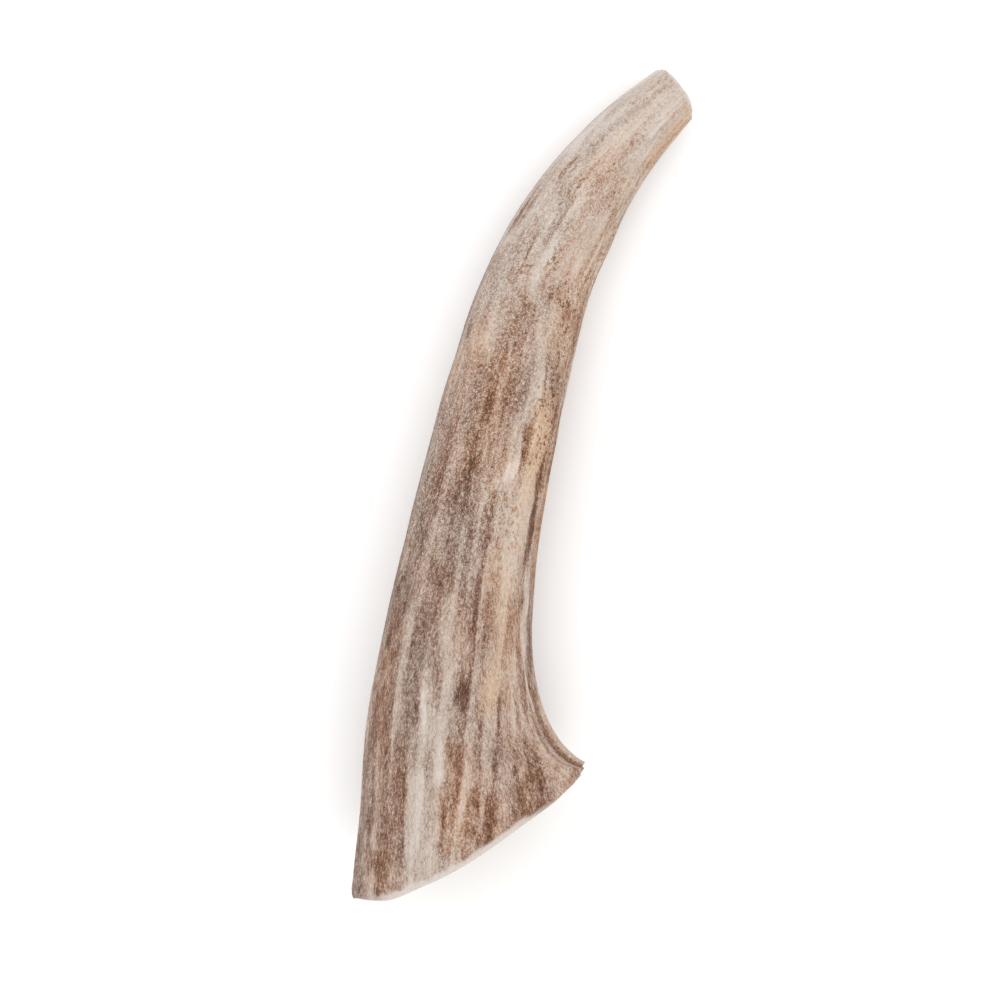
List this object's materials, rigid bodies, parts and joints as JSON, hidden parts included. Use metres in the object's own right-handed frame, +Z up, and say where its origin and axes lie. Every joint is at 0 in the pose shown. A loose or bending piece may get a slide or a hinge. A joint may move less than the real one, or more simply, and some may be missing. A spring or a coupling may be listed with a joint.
{
  "type": "deer antler tine section",
  "caption": "Sawn length of shed deer-antler tine with a flared base, a curved narrow tip and sanded cuts, used as a craft blank.",
  "frame": {"origin": "on the surface that the tine lies on, under the middle of its bounding box", "axes": "+X runs from the base cut to the tip, +Y to the outside of the bend, and +Z up from the surface"},
  "size_m": [0.1667, 0.0455, 0.0296],
  "materials": {
    "bark": "matt, weathered and stained bone",
    "compact_bone": "satin, sanded dense bone",
    "pith": "matt, porous spongy bone"
  },
  "bodies": {
    "root": {"bark": "bark", "compact_wall": "compact_bone", "pith_core": "pith"}
  },
  "joints": []
}
